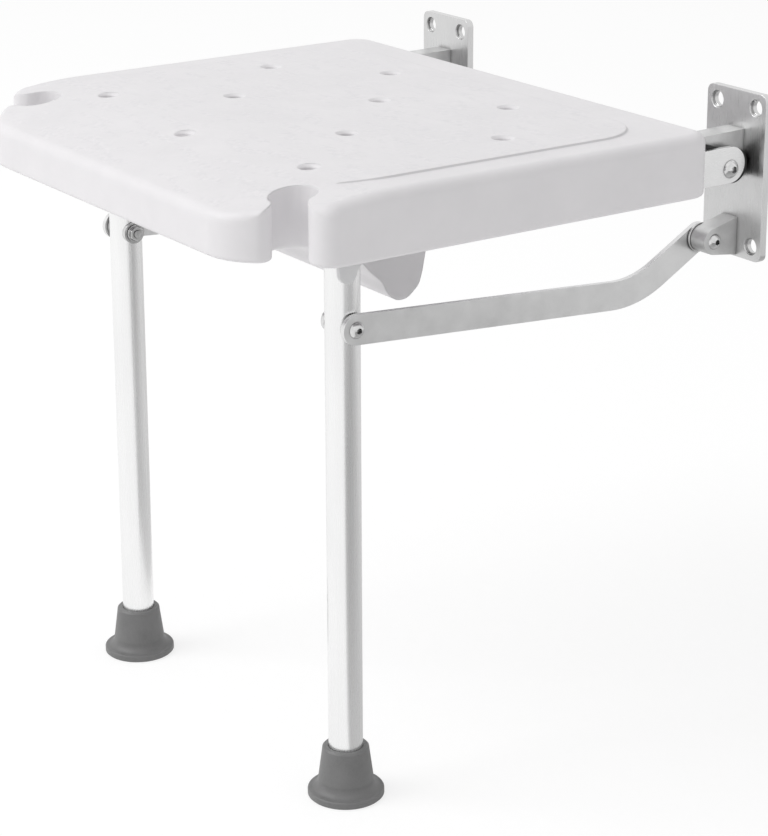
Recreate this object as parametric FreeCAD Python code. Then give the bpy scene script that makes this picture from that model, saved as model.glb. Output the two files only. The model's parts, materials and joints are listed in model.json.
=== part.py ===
import FreeCAD, Part
import math
import os

from FreeCAD import Vector

# Fold-down wall seat with drop-down legs, all sizes in millimetres.
# The origin lies on the wall plane, in the middle of the eight wall holes.
# +X is to the right of a person who faces the wall, -Y is away from the wall, +Z is up.

# Wall plates
floor_drop = 428.4
plate_width = 64.0
plate_height = 128.0
plate_thickness = 6.0
plate_corner_radius = 6.0
wall_hole_pitch_x = 42.0
wall_hole_pitch_z = 106.0
wall_hole_radius = 5.2
wall_hole_recess_radius = 6.6
wall_hole_recess_depth = 2.4

# Pivots of the folding linkage, seen along X
pivot_wall_distance = 28.0
hinge_height = 10.0
pivot_drop = 59.0
leg_front_setback = 106.0
leg_link_pivot_height = -66.0

# Legs and rubber feet
tube_radius = 12.7
tube_wall = 1.6
tube_above_pivot = 13.0
cap_thickness = 2.0
cap_plug_length = 9.0
cap_bolt_clearance = 1.0
foot_height = 39.0
foot_flange_radius = 28.3
foot_flange_thickness = 5.5
foot_flange_rounding = 1.5
foot_sole_chamfer = 0.9
foot_throat_out = 1.65
foot_throat_up = 2.25
foot_cone_base_radius = 20.5
foot_cone_base_height = 13.0
foot_mouth_radius = 17.2
foot_mouth_rounding = 1.2
foot_floor_thickness = 6.0
soft_clearance = 0.3

# Links from the lower lugs to the legs
link_height = 22.0
link_thickness = 4.0
link_tube_gap = 1.2
link_fall = 0.0687
link_rise_angle = 29.5
link_bend_radius = 78.0
lug_width = 15.7
lug_plate_offset = 5.9
lug_nose_radius = 10.3
lug_foot_top = -33.0
lug_foot_bottom = -62.5
lug_web_start = 1.5
lug_washer_thickness = 2.0
lug_washer_radius = 11.4

# Hinge brackets, bearing pads and seat arms
bracket_plate_offset = 9.5
bracket_width = 17.0
bracket_boss_radius = 12.0
bracket_foot_bottom = -1.0
bracket_lip_top = 35.6
bracket_lip_reach = 50.0
bracket_lip_thickness = 4.8
bracket_lip_top_fall = 0.6
bracket_nose_length = 3.0
bracket_nose_drop = 2.0
bracket_web_lead = 2.0
bracket_web_drop = 2.5
pad_thickness = 6.2
pad_end_radius = 13.5
pad_end_gap = 1.6
pad_end_height = 10.8
pad_tail_start = 4.0
pad_tail_rise = 1.2
pad_tail_clearance = 2.0
arm_thickness = 4.5
arm_height = 27.5
arm_axis_height = 13.0
arm_front_setback = 75.0
arm_side_setback = 22.15
side_clearance = 0.15
overrun = 1.0

# Seat shell
seat_width = 452.0
seat_rear_y = -63.0
seat_front_y = -447.0
seat_top = 46.5
seat_thickness = 47.0
seat_wall = 4.5
rear_corner_radius = 20.0
front_corner_radius = 45.0
front_corner_shift = 31.0
front_fall_start = 107.0
front_fall_radius = 380.0
top_edge_radius = 9.0
bottom_edge_radius = 3.0
notch_radius = 17.0
side_lobe_radius = 14.5
side_lobe_setback = 58.2
front_lobe_radius = 9.5
front_lobe_angle = -39.0
panel_side_margin = 29.0
panel_rear_margin = 37.0
panel_front_margin = 52.0
panel_rear_radius = 45.0
panel_front_radius = 65.0
panel_fall_start = 117.0
panel_rise = 1.5
panel_side_slope = 0.7
panel_notch_gap = 3.0
panel_notch_slope = 3.0
drain_radius = 6.0
drain_flare_radius = 8.5
drain_flare_depth = 2.0
drain_rim_wall = 2.5
drain_rim_depth = 5.0
rear_drain_rows = [
    (75.5, [-77.0, 77.0]),
    (139.5, [-154.0, 0.0, 154.0]),
    (221.5, [-77.0, 77.0]),
]
front_drain_rows = [
    (87.5, [-141.0, 141.0]),
    (72.5, [0.0]),
]
skin_lap = 2.0
rib_thickness = 2.6
rib_depth = 8.0
rib_columns = [-112.5, -37.5, 37.5, 112.5]
rear_rib_setbacks = [47.0, 114.0, 180.0]
front_rib_setbacks = [47.0, 117.0]
rib_arm_gap = 9.35
rib_hanger_gap = 11.7
arm_slot_clearance = 0.8

# Deep cross beam under the seat
beam_hanger_gap = 6.7
beam_wall = 3.5
beam_rounding = 12.0
weep_hole_radius = 2.5
beam_weep_columns = [-77.0, 0.0, 77.0]
beam_front_offset = 23.0
beam_rear_offset = 94.0
# Points of the beam's cross section as (distance behind the leg axis, height)
beam_profile = [
    (25.0, -4.0),
    (32.0, -32.0),
    (41.0, -42.0),
    (50.0, -50.0),
    (54.0, -58.0),
    (61.0, -66.0),
    (72.0, -66.0),
    (82.5, -57.0),
    (85.5, -47.0),
    (88.5, -32.0),
    (92.0, 0.0),
]

# Screw bosses for the arms and the leg hangers
arm_boss_radius = 7.0
arm_rear_boss_setback = 42.0
arm_middle_boss_setback = 162.0
arm_front_boss_setback = 97.0
screw_radius = 2.4
screw_head_radius = 4.6
screw_head_height = 2.8
screw_head_chamfer = 0.9
screw_slot_length = 5.0
screw_slot_width = 1.1
screw_slot_depth = 1.6
screw_depth = 12.0
hanger_cheek_thickness = 3.5
hanger_cheek_gap = 0.6
hanger_web_thickness = 3.0
hanger_web_clearance = 1.5
hanger_web_length = 72.0
hanger_cheek_length = 29.0
hanger_cheek_drop = 25.0
hanger_foot_radius = 7.5
hanger_foot_offset = -6.0
hanger_screw_pitch = 54.0
hanger_boss_radius = 6.5

# Bolts, nuts and screws
hinge_bolt_radius = 4.0
hinge_head_radius = 7.0
hinge_head_height = 4.4
hinge_socket_flats = 5.0
link_bolt_radius = 3.0
link_head_radius = 6.1
link_head_height = 3.6
link_socket_flats = 4.0
socket_depth = 2.4
head_crown_cut = 0.3
hinge_nut_flats = 13.0
hinge_nut_height = 6.5
link_nut_flats = 10.0
link_nut_height = 4.4
nut_flange_height = 1.4
nut_flange_margin = 1.6
bolt_end_length = 1.2
saddle_thickness = 1.5
saddle_radius = 8.8
saddle_wrap = 2.6
pivot_fit = 0.08
bolt_fit = 0.06
open_pivot_clearance = 0.25
plate_screw_radius = 3.0
plate_screw_head_radius = 5.8
plate_screw_head_height = 3.0
plate_screw_length = 18.0
plate_screw_inset = 8.0

# Places that follow from the sizes above
seat_half = seat_width / 2
seat_bottom = seat_top - seat_thickness
roof_underside = seat_top - seat_wall
arm_outer_x = seat_half - arm_side_setback
arm_inner_x = arm_outer_x - arm_thickness
arm_bottom = arm_axis_height - arm_height / 2
arm_top = arm_axis_height + arm_height / 2
arm_front_y = seat_front_y + arm_front_setback
arm_boss_rows = [
    seat_rear_y - arm_rear_boss_setback,
    seat_rear_y - arm_middle_boss_setback,
    seat_front_y + arm_front_boss_setback,
]
pad_outer_x = arm_inner_x - side_clearance
bracket_outer_x = pad_outer_x - pad_thickness
bracket_inner_x = bracket_outer_x - bracket_width
plate_centre_x = bracket_outer_x - bracket_plate_offset
lug_outer_x = plate_centre_x + lug_plate_offset
lug_inner_x = lug_outer_x - lug_width
link_outer_x = lug_inner_x - lug_washer_thickness - 2 * side_clearance
link_inner_x = link_outer_x - link_thickness
link_pivot_height = hinge_height - pivot_drop
hinge_y = -pivot_wall_distance
leg_x = link_inner_x - link_tube_gap - tube_radius
leg_y = seat_front_y + leg_front_setback
leg_pivot_height = leg_link_pivot_height + pivot_drop
tube_top = leg_pivot_height + tube_above_pivot
tube_bottom = foot_floor_thickness + soft_clearance - floor_drop
hanger_outer_cheek_x = leg_x + tube_radius + hanger_cheek_gap
hanger_inner_cheek_x = leg_x - tube_radius - hanger_cheek_gap - hanger_cheek_thickness
beam_top = roof_underside + skin_lap
beam_half_length = hanger_inner_cheek_x - beam_hanger_gap


def line(start, end):
    return Part.LineSegment(start, end).toShape()


def arc(start, middle, end):
    return Part.Arc(start, middle, end).toShape()


def extrude(edges, direction):
    return Part.Face(Part.Wire(edges)).extrude(direction)


def box(x_range, y_range, z_range):
    size = [high - low for low, high in (x_range, y_range, z_range)]
    return Part.makeBox(size[0], size[1], size[2], Vector(x_range[0], y_range[0], z_range[0]))


def rod_x(radius, x_start, x_end, y, z):
    return Part.makeCylinder(radius, x_end - x_start, Vector(x_start, y, z), Vector(1, 0, 0))


def rod_y(radius, y_start, y_end, x, z):
    return Part.makeCylinder(radius, y_end - y_start, Vector(x, y_start, z), Vector(0, 1, 0))


def rod_z(radius, z_start, z_end, x, y):
    return Part.makeCylinder(radius, z_end - z_start, Vector(x, y, z_start), Vector(0, 0, 1))


def slab(points, x_start, x_end):
    """A flat piece with straight sides, drawn in the YZ plane and extruded along X."""
    corners = [Vector(x_start, y, z) for y, z in points]
    edges = [line(a, b) for a, b in zip(corners, corners[1:] + corners[:1])]
    return extrude(edges, Vector(x_end - x_start, 0, 0))


def hexagon_x(flats, x_start, x_end, y, z):
    radius = flats / math.sqrt(3)
    corners = []
    for side in range(6):
        angle = math.radians(30 + 60 * side)
        corners.append((y + radius * math.cos(angle), z + radius * math.sin(angle)))
    return slab(corners, x_start, x_end)


def mirrored(shape):
    return shape.mirror(Vector(0, 0, 0), Vector(1, 0, 0))


def button_bolt(radius, head_radius, head_height, socket_flats, head_x, end_x, y, z):
    """Domed socket-head bolt along X whose head sits on head_x and points away from it."""
    sphere_radius = (head_radius ** 2 + head_height ** 2) / (2 * head_height)
    dome = Part.makeSphere(sphere_radius, Vector(head_x + head_height - sphere_radius, y, z))
    head = dome.common(rod_x(head_radius + overrun, head_x, head_x + head_height, y, z))
    flat_x = head_x + head_height - head_crown_cut
    head = head.common(rod_x(head_radius + overrun, head_x, flat_x, y, z))
    head = head.cut(hexagon_x(socket_flats, flat_x - socket_depth, flat_x + overrun, y, z))
    return head.fuse(rod_x(radius, end_x, head_x, y, z)).removeSplitter()


def flange_nut(bore_radius, flats, height, x_face, y, z):
    """Flanged nut on a face at x_face, reaching towards -X."""
    flange_radius = flats / 2 + nut_flange_margin
    nut = rod_x(flange_radius, x_face - nut_flange_height, x_face, y, z)
    nut = nut.fuse(hexagon_x(flats, x_face - height, x_face, y, z))
    bore = rod_x(bore_radius, x_face - height - overrun, x_face + overrun, y, z)
    return nut.cut(bore).removeSplitter()


def rounded_plate(x_centre):
    half_width = plate_width / 2
    half_height = plate_height / 2
    plate = box(
        (x_centre - half_width, x_centre + half_width),
        (-plate_thickness, 0),
        (-half_height, half_height),
    )
    uprights = [edge for edge in plate.Edges if abs(edge.tangentAt(0).y) > 0.9]
    return plate.makeFillet(plate_corner_radius, uprights)


def wall_hole_places():
    places = []
    for side_x in (-wall_hole_pitch_x / 2, wall_hole_pitch_x / 2):
        for z in (-wall_hole_pitch_z / 2, wall_hole_pitch_z / 2):
            places.append((plate_centre_x + side_x, z))
    return places


def plate_screw_places():
    """Screws from behind the plate: two into the hinge bracket and two into the lug."""
    bracket_x = bracket_inner_x + bracket_width / 2
    lug_x = lug_inner_x + lug_width / 2
    return [
        (bracket_x, bracket_foot_bottom + plate_screw_inset),
        (bracket_x, bracket_lip_top - plate_screw_inset),
        (lug_x, lug_foot_bottom + plate_screw_inset),
        (lug_x, lug_foot_top - plate_screw_inset),
    ]


def plate_screw(x, z, grow):
    head = Part.makeCone(
        plate_screw_radius + grow,
        plate_screw_head_radius + grow,
        plate_screw_head_height,
        Vector(x, -plate_screw_head_height, z),
        Vector(0, 1, 0),
    )
    return head.fuse(rod_y(plate_screw_radius + grow, -plate_screw_length - grow, 0, x, z)).removeSplitter()


def wall_plate():
    plate = rounded_plate(plate_centre_x)
    in_front = -plate_thickness - overrun
    recess_floor = wall_hole_recess_depth - plate_thickness
    for x, z in wall_hole_places():
        plate = plate.cut(rod_y(wall_hole_radius, in_front, overrun, x, z))
        plate = plate.cut(rod_y(wall_hole_recess_radius, in_front, recess_floor, x, z))
    for x, z in plate_screw_places():
        plate = plate.cut(plate_screw(x, z, bolt_fit))
    return plate


def plate_screws():
    return Part.makeCompound([plate_screw(x, z, 0) for x, z in plate_screw_places()])


def hinge_bracket():
    """Cast bracket with a boss for the hinge bolt and a lip that reaches over it."""
    lip_end = -bracket_lip_reach
    lip_top = bracket_lip_top - bracket_lip_top_fall
    lip_bottom = bracket_lip_top - bracket_lip_thickness
    boss_side = hinge_y - bracket_boss_radius
    body = slab(
        [
            (-plate_thickness, bracket_foot_bottom),
            (-plate_thickness, bracket_lip_top),
            (lip_end + bracket_nose_length, lip_top),
            (lip_end, lip_top - bracket_nose_drop),
            (lip_end, lip_bottom),
            (boss_side - bracket_web_lead, lip_bottom - bracket_web_drop),
            (boss_side, hinge_height),
            (hinge_y, bracket_foot_bottom),
        ],
        bracket_inner_x,
        bracket_outer_x,
    )
    body = body.fuse(rod_x(bracket_boss_radius, bracket_inner_x, bracket_outer_x, hinge_y, hinge_height))
    body = body.cut(hinge_hole(bolt_fit))
    for x, z in plate_screw_places()[:2]:
        body = body.cut(plate_screw(x, z, bolt_fit))
    return body.removeSplitter()


def hinge_hole(clearance):
    radius = hinge_bolt_radius + clearance
    return rod_x(radius, bracket_inner_x - overrun, arm_outer_x + overrun, hinge_y, hinge_height)


def bearing_pad():
    """Black nylon pad between bracket and arm, with its tail under the bracket's lip."""
    centre_y = -plate_thickness - pad_end_gap - pad_end_radius
    pad = rod_x(pad_end_radius, bracket_outer_x, pad_outer_x, centre_y, pad_end_height)
    tail = slab(
        [
            (centre_y, pad_end_height + pad_end_radius),
            (hinge_y - pad_tail_start, pad_end_height + pad_end_radius + pad_tail_rise),
            (-bracket_lip_reach, bracket_lip_top - bracket_lip_thickness),
            (-bracket_lip_reach, arm_bottom + pad_tail_clearance),
            (centre_y, pad_end_height - pad_end_radius),
        ],
        bracket_outer_x,
        pad_outer_x,
    )
    return pad.fuse(tail).cut(hinge_hole(bolt_fit)).removeSplitter()


def hinge_bolt():
    end_x = bracket_inner_x - hinge_nut_height - bolt_end_length
    return button_bolt(
        hinge_bolt_radius, hinge_head_radius, hinge_head_height, hinge_socket_flats,
        arm_outer_x + side_clearance, end_x, hinge_y, hinge_height,
    )


def hinge_nut():
    return flange_nut(
        hinge_bolt_radius + bolt_fit, hinge_nut_flats, hinge_nut_height,
        bracket_inner_x, hinge_y, hinge_height,
    )


def link_hole(clearance, height, y):
    radius = link_bolt_radius + clearance
    low = leg_x - tube_radius - saddle_thickness - overrun
    return rod_x(radius, low, lug_outer_x + overrun, y, height)


def link_lug():
    """Cast lug with a round nose that carries the rear end of the link."""
    web_y = hinge_y - lug_web_start
    web_half = math.sqrt(lug_nose_radius ** 2 - lug_web_start ** 2)
    nose = rod_x(lug_nose_radius, lug_inner_x, lug_outer_x, hinge_y, link_pivot_height)
    body = slab(
        [
            (-plate_thickness, lug_foot_top),
            (web_y, link_pivot_height + web_half),
            (web_y, link_pivot_height - web_half),
            (-plate_thickness, lug_foot_bottom),
        ],
        lug_inner_x,
        lug_outer_x,
    )
    body = body.fuse(nose).cut(link_hole(bolt_fit, link_pivot_height, hinge_y))
    for x, z in plate_screw_places()[2:]:
        body = body.cut(plate_screw(x, z, bolt_fit))
    return body.removeSplitter()


def lug_washer():
    start = link_outer_x + side_clearance
    washer = rod_x(lug_washer_radius, start, start + lug_washer_thickness, hinge_y, link_pivot_height)
    return washer.cut(link_hole(bolt_fit, link_pivot_height, hinge_y))


def lug_bolt():
    end_x = link_inner_x - side_clearance - link_nut_height - bolt_end_length
    return button_bolt(
        link_bolt_radius, link_head_radius, link_head_height, link_socket_flats,
        lug_outer_x, end_x, hinge_y, link_pivot_height,
    )


def lug_nut():
    return flange_nut(
        link_bolt_radius + bolt_fit, link_nut_flats, link_nut_height,
        link_inner_x - side_clearance, hinge_y, link_pivot_height,
    )


def link_centre_line():
    """Leg end, bend corner and lug end of the link's centre line as (y, z)."""
    rise = math.tan(math.radians(link_rise_angle))
    corner_y = (link_pivot_height - leg_link_pivot_height - rise * hinge_y - link_fall * leg_y)
    corner_y = corner_y / (-link_fall - rise)
    corner_z = leg_link_pivot_height - link_fall * (corner_y - leg_y)
    return (leg_y, leg_link_pivot_height), (corner_y, corner_z), (hinge_y, link_pivot_height)


def link_bar():
    """Flat bar with round ends, bent upwards near the wall."""
    leg_end, corner, lug_end = link_centre_line()
    half = link_height / 2
    start_angle = -math.atan(link_fall)
    end_angle = math.radians(link_rise_angle)
    tangent = link_bend_radius * math.tan((end_angle - start_angle) / 2)
    bend_start = (corner[0] - tangent * math.cos(start_angle), corner[1] - tangent * math.sin(start_angle))
    bend_end = (corner[0] + tangent * math.cos(end_angle), corner[1] + tangent * math.sin(end_angle))
    middle_angle = (start_angle + end_angle) / 2
    centre = (
        bend_start[0] - link_bend_radius * math.sin(start_angle),
        bend_start[1] + link_bend_radius * math.cos(start_angle),
    )

    def beside(point, angle, offset):
        return Vector(
            link_inner_x, point[0] - offset * math.sin(angle), point[1] + offset * math.cos(angle)
        )

    def beyond(point, angle, distance):
        return Vector(
            link_inner_x, point[0] + distance * math.cos(angle), point[1] + distance * math.sin(angle)
        )

    def on_bend(offset):
        radius = link_bend_radius - offset
        return Vector(
            link_inner_x,
            centre[0] + radius * math.sin(middle_angle),
            centre[1] - radius * math.cos(middle_angle),
        )

    edges = [
        line(beside(leg_end, start_angle, half), beside(bend_start, start_angle, half)),
        arc(beside(bend_start, start_angle, half), on_bend(half), beside(bend_end, end_angle, half)),
        line(beside(bend_end, end_angle, half), beside(lug_end, end_angle, half)),
        arc(
            beside(lug_end, end_angle, half),
            beyond(lug_end, end_angle, half),
            beside(lug_end, end_angle, -half),
        ),
        line(beside(lug_end, end_angle, -half), beside(bend_end, end_angle, -half)),
        arc(beside(bend_end, end_angle, -half), on_bend(-half), beside(bend_start, start_angle, -half)),
        line(beside(bend_start, start_angle, -half), beside(leg_end, start_angle, -half)),
        arc(
            beside(leg_end, start_angle, -half),
            beyond(leg_end, start_angle, -half),
            beside(leg_end, start_angle, half),
        ),
    ]
    bar = extrude(edges, Vector(link_thickness, 0, 0))
    bar = bar.cut(link_hole(open_pivot_clearance, leg_link_pivot_height, leg_y))
    return bar.cut(link_hole(pivot_fit, link_pivot_height, hinge_y))


def leg_tube():
    tube = rod_z(tube_radius, tube_bottom, tube_top, leg_x, leg_y)
    tube = tube.cut(rod_z(tube_radius - tube_wall, tube_bottom - overrun, tube_top + overrun, leg_x, leg_y))
    tube = tube.cut(leg_pivot_hole(pivot_fit))
    return tube.cut(link_hole(bolt_fit, leg_link_pivot_height, leg_y))


def leg_cap():
    """Plastic plug in the top of the leg tube, cut short of the pivot bolt."""
    cap = rod_z(tube_radius, tube_top, tube_top + cap_thickness, leg_x, leg_y)
    plug_radius = tube_radius - tube_wall - soft_clearance
    plug = rod_z(plug_radius, tube_top - cap_plug_length, tube_top, leg_x, leg_y)
    return cap.fuse(plug).cut(leg_pivot_hole(cap_bolt_clearance)).removeSplitter()


def foot():
    """Rubber ferrule with a wide flange that stands on the floor."""
    socket = tube_radius + soft_clearance
    flange = foot_flange_radius
    corner = foot_flange_rounding * (1 - math.sqrt(0.5))

    def place(radius, height):
        return Vector(leg_x + radius, leg_y, height - floor_drop)

    edges = [
        line(place(0, 0), place(flange - foot_sole_chamfer, 0)),
        line(place(flange - foot_sole_chamfer, 0), place(flange, foot_sole_chamfer)),
        line(place(flange, foot_sole_chamfer), place(flange, foot_flange_thickness - foot_flange_rounding)),
        arc(
            place(flange, foot_flange_thickness - foot_flange_rounding),
            place(flange - corner, foot_flange_thickness - corner),
            place(flange - foot_flange_rounding, foot_flange_thickness),
        ),
        arc(
            place(flange - foot_flange_rounding, foot_flange_thickness),
            place(foot_cone_base_radius + foot_throat_out, foot_flange_thickness + foot_throat_up),
            place(foot_cone_base_radius, foot_cone_base_height),
        ),
        line(
            place(foot_cone_base_radius, foot_cone_base_height),
            place(foot_mouth_radius, foot_height - foot_mouth_rounding),
        ),
        line(
            place(foot_mouth_radius, foot_height - foot_mouth_rounding),
            place(foot_mouth_radius - foot_mouth_rounding, foot_height),
        ),
        line(place(foot_mouth_radius - foot_mouth_rounding, foot_height), place(socket, foot_height)),
        line(place(socket, foot_height), place(socket, foot_floor_thickness)),
        line(place(socket, foot_floor_thickness), place(0, foot_floor_thickness)),
        line(place(0, foot_floor_thickness), place(0, 0)),
    ]
    axis = Vector(leg_x, leg_y, 0)
    return Part.Face(Part.Wire(edges)).revolve(axis, Vector(0, 0, 1), 360)


def leg_pivot_hole(clearance):
    radius = hinge_bolt_radius + clearance
    half = tube_radius + hanger_cheek_gap + hanger_cheek_thickness + overrun
    return rod_x(radius, leg_x - half, leg_x + half, leg_y, leg_pivot_height)


def leg_link_bolt():
    nut_face = leg_x - tube_radius - saddle_thickness
    return button_bolt(
        link_bolt_radius, link_head_radius, link_head_height, link_socket_flats,
        link_outer_x + side_clearance, nut_face - link_nut_height - bolt_end_length,
        leg_y, leg_link_pivot_height,
    )


def saddle(x_start, x_end):
    """Washer with one flat face and one face that follows the round tube."""
    washer = rod_x(saddle_radius, x_start, x_end, leg_y, leg_link_pivot_height)
    low = leg_link_pivot_height - saddle_radius - overrun
    high = leg_link_pivot_height + saddle_radius + overrun
    washer = washer.cut(rod_z(tube_radius + soft_clearance, low, high, leg_x, leg_y))
    return washer.cut(link_hole(bolt_fit, leg_link_pivot_height, leg_y))


def leg_link_spacer():
    return saddle(leg_x + tube_radius - saddle_wrap, link_inner_x - side_clearance)


def leg_saddle():
    return saddle(leg_x - tube_radius - saddle_thickness, leg_x - tube_radius + saddle_wrap)


def leg_link_nut():
    nut_face = leg_x - tube_radius - saddle_thickness
    return flange_nut(
        link_bolt_radius + bolt_fit, link_nut_flats, link_nut_height, nut_face, leg_y, leg_link_pivot_height
    )


def notch_middle(side_lobe, front_lobe):
    """Centre of the notch arc, which touches both lobe arcs from inside the seat."""
    span_x = front_lobe[0] - side_lobe[0]
    span_y = front_lobe[1] - side_lobe[1]
    span = math.hypot(span_x, span_y)
    to_side = notch_radius + side_lobe_radius
    to_front = notch_radius + front_lobe_radius
    along = (to_side ** 2 - to_front ** 2 + span ** 2) / (2 * span)
    depth = math.sqrt(to_side ** 2 - along ** 2)
    middle_x = side_lobe[0] + along * span_x / span
    middle_y = side_lobe[1] + along * span_y / span
    return (middle_x + depth * span_y / span, middle_y - depth * span_x / span)


def front_corner_centres():
    """Centres of the corner arc, the side lobe, the front lobe and the notch on the right."""
    corner_x = seat_half - front_corner_radius - front_corner_shift
    corner_y = seat_front_y + front_corner_radius
    side_lobe = (seat_half - side_lobe_radius, seat_front_y + side_lobe_setback)
    turn = math.radians(front_lobe_angle)
    reach = front_corner_radius - front_lobe_radius
    front_lobe = (corner_x + reach * math.cos(turn), corner_y + reach * math.sin(turn))
    return (corner_x, corner_y), side_lobe, front_lobe, notch_middle(side_lobe, front_lobe)


def bearing(start, end):
    return math.degrees(math.atan2(end[1] - start[1], end[0] - start[0]))


def bridge_angle(side_lobe, front_corner):
    """Direction faced by the straight line that would close the notch."""
    step = front_corner_radius - side_lobe_radius
    turn = math.degrees(math.acos(step / math.dist(side_lobe, front_corner)))
    return bearing(front_corner, side_lobe) - turn


def seat_outline(inset, z, notched=True):
    """Closed plan outline of the seat, moved inwards by inset, with or without its two notches."""
    rear_corner = (seat_half - rear_corner_radius, seat_rear_y - rear_corner_radius)
    front_corner, side_lobe, front_lobe, notch_centre = front_corner_centres()
    side_angle = bearing(side_lobe, notch_centre)
    front_angle = bearing(front_lobe, notch_centre)

    def at(centre, radius, degrees):
        angle = math.radians(degrees)
        return Vector(centre[0] + radius * math.cos(angle), centre[1] + radius * math.sin(angle), z)

    def turn(centre, radius, start, end):
        return arc(
            at(centre, radius, start), at(centre, radius, (start + end) / 2), at(centre, radius, end)
        )

    side_radius = side_lobe_radius - inset
    corner_radius = front_corner_radius - inset
    right = [
        turn(rear_corner, rear_corner_radius - inset, 90, 0),
        line(at(rear_corner, rear_corner_radius - inset, 0), at(side_lobe, side_radius, 0)),
    ]
    if notched:
        right.append(turn(side_lobe, side_radius, 0, side_angle))
        right.append(turn(notch_centre, notch_radius + inset, side_angle + 180, front_angle + 180))
        right.append(turn(front_lobe, front_lobe_radius - inset, front_angle, front_lobe_angle))
        right.append(turn(front_corner, corner_radius, front_lobe_angle, -90))
    else:
        bridge = bridge_angle(side_lobe, front_corner)
        right.append(turn(side_lobe, side_radius, 0, bridge))
        right.append(line(at(side_lobe, side_radius, bridge), at(front_corner, corner_radius, bridge)))
        right.append(turn(front_corner, corner_radius, bridge, -90))
    left = [mirrored(edge) for edge in right]
    rear_x = rear_corner[0]
    rear_y = seat_rear_y - inset
    front_x = front_corner[0]
    front_y = seat_front_y + inset
    rear_line = line(Vector(-rear_x, rear_y, z), Vector(rear_x, rear_y, z))
    front_line = line(Vector(front_x, front_y, z), Vector(-front_x, front_y, z))
    return Part.Wire(Part.__sortEdges__(right + left + [rear_line, front_line]))


def panel_outline(outset, z):
    """Rounded rectangle of the raised sitting panel, moved outwards by outset."""
    half = seat_half - panel_side_margin
    rear_y = seat_rear_y - panel_rear_margin
    front_y = seat_front_y + panel_front_margin
    rear_radius = panel_rear_radius + outset
    front_radius = panel_front_radius + outset
    diagonal = math.sqrt(0.5)
    edges = []
    for side in (1, -1):
        rear_centre = Vector(side * (half - panel_rear_radius), rear_y - panel_rear_radius, z)
        front_centre = Vector(side * (half - panel_front_radius), front_y + panel_front_radius, z)
        edges.append(arc(
            rear_centre + Vector(0, rear_radius, 0),
            rear_centre + Vector(side * diagonal, diagonal, 0) * rear_radius,
            rear_centre + Vector(side * rear_radius, 0, 0),
        ))
        edges.append(line(
            rear_centre + Vector(side * rear_radius, 0, 0),
            front_centre + Vector(side * front_radius, 0, 0),
        ))
        edges.append(arc(
            front_centre + Vector(side * front_radius, 0, 0),
            front_centre + Vector(side * diagonal, -diagonal, 0) * front_radius,
            front_centre - Vector(0, front_radius, 0),
        ))
    rear_x = half - panel_rear_radius
    front_x = half - panel_front_radius
    rear_y += outset
    front_y -= outset
    edges.append(line(Vector(-rear_x, rear_y, z), Vector(rear_x, rear_y, z)))
    edges.append(line(Vector(-front_x, front_y, z), Vector(front_x, front_y, z)))
    return Part.Wire(Part.__sortEdges__(edges))


def above_front(top, fall_start, fall_radius):
    """All that lies over a surface that falls away from height top in a curve towards the front."""
    fall_y = seat_front_y + fall_start
    wide = seat_half + overrun
    depth = (seat_front_y - overrun, fall_y)
    front = box((-wide, wide), depth, (seat_bottom, top + overrun))
    return front.cut(rod_x(fall_radius, -wide, wide, fall_y, top - fall_radius))


def lower_rim(shape):
    """Edges round the flat underside."""
    return [edge for edge in shape.Edges if edge.BoundBox.ZMax < seat_bottom + 0.001]


def upper_rim(shape):
    """Edges between the upright sides and the top surface, which falls towards the front."""
    fall_y = seat_front_y + front_fall_start
    rim = []
    for edge in shape.Edges:
        span = edge.BoundBox
        upright = span.ZLength > 0.9 * edge.Length
        high = span.ZMin > seat_bottom + seat_thickness / 3
        across_fall = abs(span.YMin - fall_y) < 0.001 and abs(span.YMax - fall_y) < 0.001
        if high and not upright and not across_fall:
            rim.append(edge)
    return rim


def seat_block():
    """Block with the seat's outside form, its rim falling away towards the front."""
    up = Vector(0, 0, seat_thickness)
    block = Part.Face(seat_outline(0, seat_bottom, notched=False)).extrude(up)
    block = block.cut(above_front(seat_top, front_fall_start, front_fall_radius))
    block = block.makeFillet(top_edge_radius, upper_rim(block))
    block = block.common(Part.Face(seat_outline(0, seat_bottom)).extrude(up))
    return block.makeFillet(bottom_edge_radius, lower_rim(block))


def seat_cavity():
    low = seat_bottom - overrun
    outline = Part.Face(seat_outline(seat_wall, low))
    cavity = outline.extrude(Vector(0, 0, roof_underside - low))
    cavity = cavity.cut(above_front(roof_underside, front_fall_start, front_fall_radius - seat_wall))
    return cavity.makeFillet(top_edge_radius - seat_wall, upper_rim(cavity))


def sitting_panel():
    """Raised panel that starts to fall before the rim does and slopes down before the notches."""
    top = seat_top + panel_rise
    low = roof_underside
    outset = panel_side_slope * (top - low)
    panel = Part.makeLoft([panel_outline(outset, low), panel_outline(0, top)], True)
    notch_x, notch_y = front_corner_centres()[3]
    radius = notch_radius + panel_notch_gap
    wide_radius = radius + panel_notch_slope * (top - low)
    dip = Part.makeCone(radius, wide_radius, top - low, Vector(notch_x, notch_y, low))
    return panel.cut([above_front(top, panel_fall_start, front_fall_radius), dip, mirrored(dip)])


def drain_places():
    rear = [(x, seat_rear_y - setback) for setback, columns in rear_drain_rows for x in columns]
    front = [(x, seat_front_y + setback) for setback, columns in front_drain_rows for x in columns]
    return rear + front


def drain_rims():
    radius = drain_radius + drain_rim_wall
    low = roof_underside - drain_rim_depth
    return [rod_z(radius, low, roof_underside + skin_lap, x, y) for x, y in drain_places()]


def panel_height(y):
    """Height of the sitting panel's surface at a place along Y."""
    fall = max(0, seat_front_y + panel_fall_start - y)
    drop = front_fall_radius - math.sqrt(front_fall_radius ** 2 - fall ** 2)
    return seat_top + panel_rise - drop


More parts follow.
